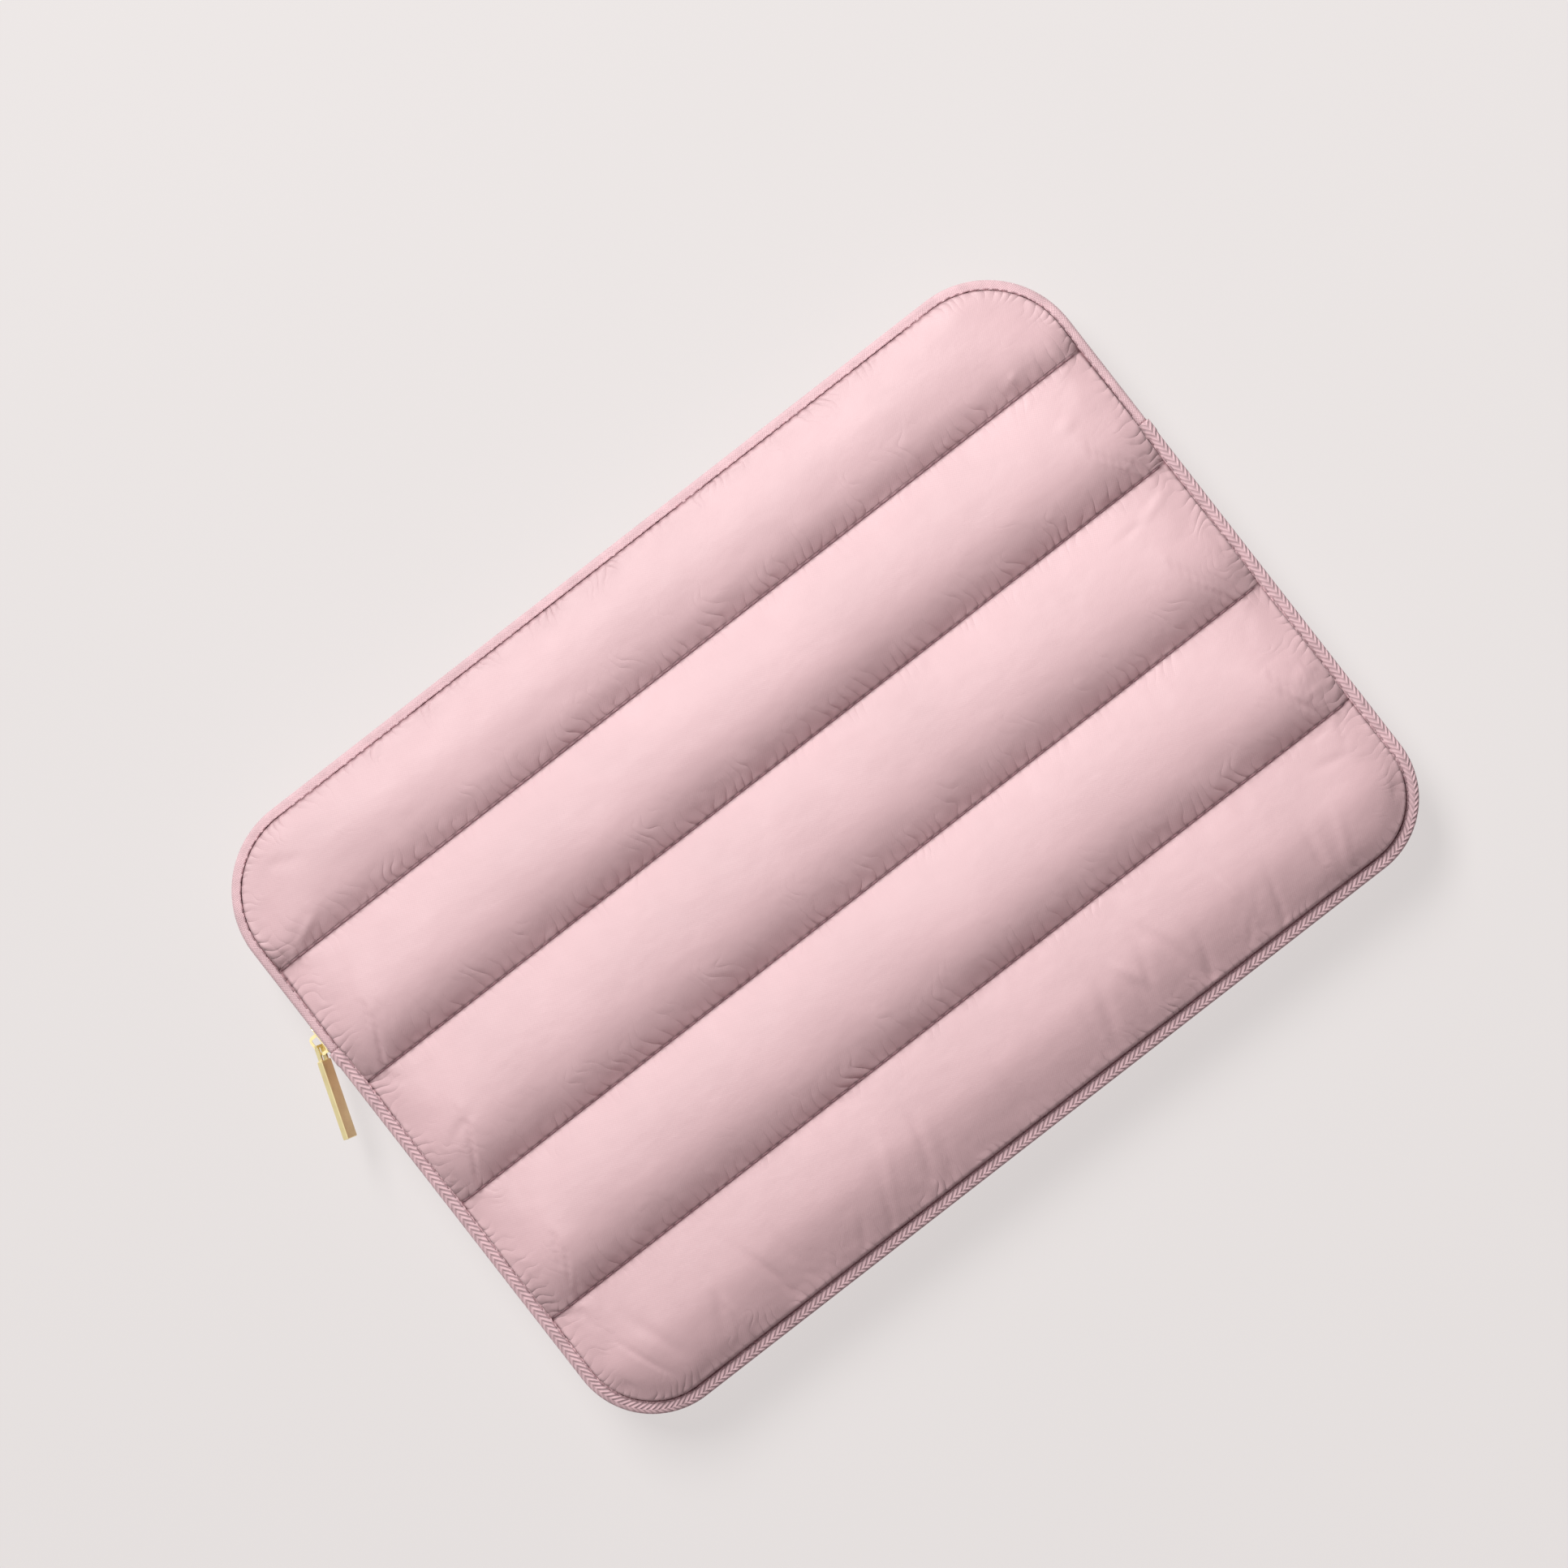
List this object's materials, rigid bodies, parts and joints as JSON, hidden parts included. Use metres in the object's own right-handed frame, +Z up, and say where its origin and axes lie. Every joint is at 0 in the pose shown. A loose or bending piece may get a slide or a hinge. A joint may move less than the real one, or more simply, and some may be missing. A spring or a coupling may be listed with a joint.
{
  "type": "laptop sleeve",
  "caption": "Quilted, padded laptop sleeve with a zipped mouth, folded edge tape and a bar pull on the slider.",
  "frame": {"origin": "middle of the back panel's resting face, on the middle quilted channel", "axes": "+X along the long side, +Y towards the zipped mouth, +Z up out of the front panel; the zip slider is parked on the -X side"},
  "size_m": [0.3545, 0.24, 0.0382],
  "materials": {
    "shell_nylon": "satin",
    "lining_cloth": "matte",
    "foam_sheet": "matte",
    "wadding": "matte",
    "binding_tape": "matte",
    "stitch_thread": "matte",
    "zip_tape": "matte",
    "zip_coil": "satin",
    "gold_metal": "gloss"
  },
  "bodies": {
    "sleeve": {"back_fill_1": "wadding", "back_fill_2": "wadding", "back_fill_3": "wadding", "back_fill_4": "wadding", "back_fill_5": "wadding", "back_foam": "foam_sheet", "back_lining": "lining_cloth", "back_quilt_thread_1": "stitch_thread", "back_quilt_thread_2": "stitch_thread", "back_quilt_thread_3": "stitch_thread", "back_quilt_thread_4": "stitch_thread", "back_shell": "shell_nylon", "edge_binding": "binding_tape", "edge_stitching_back": "stitch_thread", "edge_stitching_front": "stitch_thread", "front_fill_3": "wadding", "front_fill_4": "wadding", "front_fill_5": "wadding", "front_foam_lower": "foam_sheet", "front_lining_lower": "lining_cloth", "front_quilt_thread_2": "stitch_thread", "front_quilt_thread_3": "stitch_thread", "front_quilt_thread_4": "stitch_thread", "front_shell_lower": "shell_nylon", "mouth_binding_back": "binding_tape", "mouth_stitching_back": "stitch_thread", "zip_bottom_stop": "gold_metal", "zip_coil_back": "zip_coil", "zip_coil_front_ends": "zip_coil", "zip_tape_back": "zip_tape", "zip_tape_front_ends": "zip_tape", "zip_top_stops": "gold_metal"},
    "mouth_flap": {"front_shell_flap": "shell_nylon", "front_foam_flap": "foam_sheet", "front_lining_flap": "lining_cloth", "front_fill_1": "wadding", "front_fill_2": "wadding", "front_quilt_thread_1": "stitch_thread", "mouth_binding_front": "binding_tape", "mouth_stitching_front": "stitch_thread", "zip_tape_front": "zip_tape", "zip_coil_front": "zip_coil"},
    "slider": {"slider_body": "gold_metal", "slider_bridge": "gold_metal"},
    "pull": {"pull_bar": "gold_metal"}
  },
  "joints": [
    {"name": "flap_lift", "type": "hinge", "parent": "sleeve", "child": "mouth_flap", "pos_m": [0, 0.0294, 0.032], "axis": [1, 0, 0], "range_deg": [0, 35]},
    {"name": "slider_travel", "type": "slide", "parent": "sleeve", "child": "slider", "axis": [0, 1, 0], "range_m": [0, 0.03]},
    {"name": "pull_swing", "type": "hinge", "parent": "slider", "child": "pull", "pos_m": [-0.1718, 0.0487, 0.0185], "axis": [0, 0, -1], "range_deg": [0, 143]}
  ]
}
